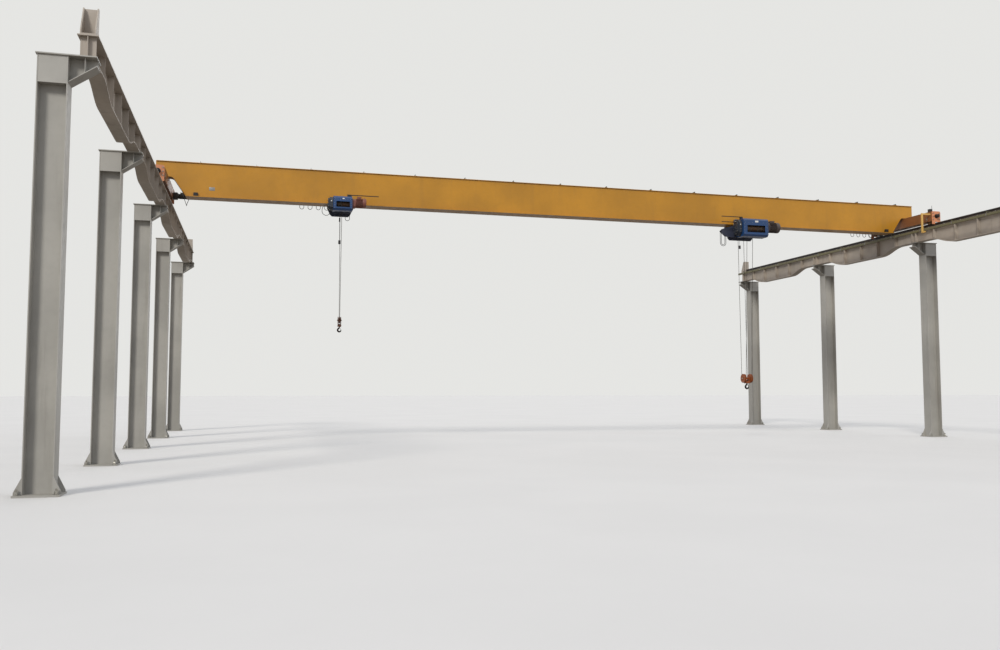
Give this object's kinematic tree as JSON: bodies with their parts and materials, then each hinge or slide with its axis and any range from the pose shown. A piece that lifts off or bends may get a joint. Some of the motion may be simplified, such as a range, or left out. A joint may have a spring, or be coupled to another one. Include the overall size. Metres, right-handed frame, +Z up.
{
  "type": "single-girder overhead bridge crane with two hoists on a columned runway",
  "caption": "Single-girder overhead travelling crane with two low-headroom rope hoists on a runway of fish-bellied beams and bracketed columns.",
  "frame": {"origin": "on the floor at the middle of the runway, half-way between the two rails", "axes": "+Z up, +X across the hall along the girder towards the big hoist, +Y along the rails away from the camera"},
  "size_m": [27.1, 24.57, 8.37],
  "materials": {
    "steelwork": "satin",
    "beam_paint": "satin",
    "rail_steel": "worn",
    "conductor": "matte",
    "girder_yellow": "satin",
    "primer": "matte",
    "truck_paint": "satin",
    "end_plate_red": "satin",
    "rubber": "matte",
    "dark_motor": "satin",
    "arm_yellow": "satin",
    "black_steel": "satin",
    "galvanised": "satin",
    "wheel_steel": "worn",
    "frame_navy": "satin",
    "hoist_blue": "gloss",
    "drum_steel": "worn",
    "gear_dark": "satin",
    "motor_red": "satin",
    "rope_steel": "greased",
    "block_orange": "satin",
    "block_dark": "satin",
    "hook_black": "forged",
    "cable_rubber": "matte"
  },
  "bodies": {
    "runway": {"left_columns": "steelwork", "right_columns": "steelwork", "left_runway_beams": "beam_paint", "right_runway_beams": "beam_paint", "left_rail": "rail_steel", "right_rail": "rail_steel", "runway_end_stops": "beam_paint", "conductor_line": "conductor"},
    "bridge": {"girder_near_web": "girder_yellow", "girder_far_web": "girder_yellow", "girder_top_flange": "girder_yellow", "girder_bottom_flange": "girder_yellow", "girder_diaphragms": "primer", "girder_end_closures": "girder_yellow", "girder_seats": "girder_yellow", "left_end_truck": "truck_paint", "right_end_truck": "truck_paint", "end_plates": "end_plate_red", "buffers": "rubber", "left_drive": "dark_motor", "right_drive": "dark_motor", "collector_arm": "arm_yellow", "hoist_stops": "black_steel", "festoon_arms": "black_steel", "festoon_track": "galvanised", "small_festoon_cable": "cable_rubber", "big_festoon_cable": "cable_rubber"},
    "left_near_wheel": {"left_near_wheel": "wheel_steel"},
    "left_far_wheel": {"left_far_wheel": "wheel_steel"},
    "right_near_wheel": {"right_near_wheel": "wheel_steel"},
    "right_far_wheel": {"right_far_wheel": "wheel_steel"},
    "small_hoist": {"small_trolley_frame": "frame_navy", "small_trolley_wheels": "wheel_steel", "small_drum_housing": "hoist_blue", "small_gearbox": "gear_dark", "small_motor": "motor_red", "small_control_box": "hoist_blue", "small_cable_arm": "black_steel", "small_limit_weight": "black_steel", "small_ropes": "rope_steel", "small_power_cables": "cable_rubber", "small_striker_bar": "black_steel"},
    "small_drum": {"small_drum": "drum_steel"},
    "small_block": {"small_hook_block": "block_dark"},
    "small_hook": {"small_hook": "hook_black"},
    "big_hoist": {"big_trolley_frame": "frame_navy", "big_trolley_wheels": "wheel_steel", "big_drum_housing": "hoist_blue", "big_gearbox": "gear_dark", "big_motor": "dark_motor", "big_control_box": "hoist_blue", "big_cable_arm": "black_steel", "big_limit_weight": "black_steel", "big_ropes": "rope_steel", "big_power_cables": "cable_rubber", "big_striker_bars": "black_steel"},
    "big_drum": {"big_drum": "drum_steel"},
    "big_block": {"big_hook_block": "block_orange"},
    "big_hook": {"big_hook": "hook_black"}
  },
  "joints": [
    {"name": "bridge_travel", "type": "slide", "parent": "runway", "child": "bridge", "axis": [0, 1, 0], "range_m": [-10.5, 9.3]},
    {"name": "left_near_wheel_turn", "type": "hinge", "parent": "bridge", "child": "left_near_wheel", "pos_m": [-12.75, -0.75, 7.6003], "axis": [1, 0, 0], "continuous": true},
    {"name": "left_far_wheel_turn", "type": "hinge", "parent": "bridge", "child": "left_far_wheel", "pos_m": [-12.75, 1.95, 7.6003], "axis": [1, 0, 0], "continuous": true},
    {"name": "right_near_wheel_turn", "type": "hinge", "parent": "bridge", "child": "right_near_wheel", "pos_m": [12.75, -0.75, 7.6003], "axis": [1, 0, 0], "continuous": true},
    {"name": "right_far_wheel_turn", "type": "hinge", "parent": "bridge", "child": "right_far_wheel", "pos_m": [12.75, 1.95, 7.6003], "axis": [1, 0, 0], "continuous": true},
    {"name": "small_hoist_travel", "type": "slide", "parent": "bridge", "child": "small_hoist", "axis": [1, 0, 0], "range_m": [-3.79, 6.32]},
    {"name": "small_hook_lift", "type": "slide", "parent": "small_hoist", "child": "small_block", "axis": [0, 0, 1], "range_m": [-3.25, 2.5], "deforming": ["small_ropes"]},
    {"name": "small_drum_turn", "type": "hinge", "parent": "small_hoist", "child": "small_drum", "pos_m": [-7.6, 0.083, 7.235], "axis": [1, 0, 0], "continuous": true},
    {"name": "small_hook_swivel", "type": "hinge", "parent": "small_block", "child": "small_hook", "pos_m": [-7.6, 0.6, 3.56], "axis": [0, 0, 1], "continuous": true},
    {"name": "big_hoist_travel", "type": "slide", "parent": "bridge", "child": "big_hoist", "axis": [1, 0, 0], "range_m": [-4.95, 5.01]},
    {"name": "big_hook_lift", "type": "slide", "parent": "big_hoist", "child": "big_block", "axis": [0, 0, 1], "range_m": [-1.45, 4.1], "deforming": ["big_ropes"]},
    {"name": "big_drum_turn", "type": "hinge", "parent": "big_hoist", "child": "big_drum", "pos_m": [6.22, 0.043, 7.125], "axis": [1, 0, 0], "continuous": true},
    {"name": "big_hook_swivel", "type": "hinge", "parent": "big_block", "child": "big_hook", "pos_m": [6.22, 0.6, 1.84], "axis": [0, 0, 1], "continuous": true}
  ],
  "couplings": [
    {"joint": "left_near_wheel_turn", "follows": "bridge_travel", "rad_per_m": -6.6667},
    {"joint": "left_far_wheel_turn", "follows": "bridge_travel", "rad_per_m": -6.6667},
    {"joint": "right_near_wheel_turn", "follows": "bridge_travel", "rad_per_m": -6.6667},
    {"joint": "right_far_wheel_turn", "follows": "bridge_travel", "rad_per_m": -6.6667},
    {"joint": "small_drum_turn", "follows": "small_hook_lift", "rad_per_m": 15.686},
    {"joint": "big_drum_turn", "follows": "big_hook_lift", "rad_per_m": 11.94}
  ]
}
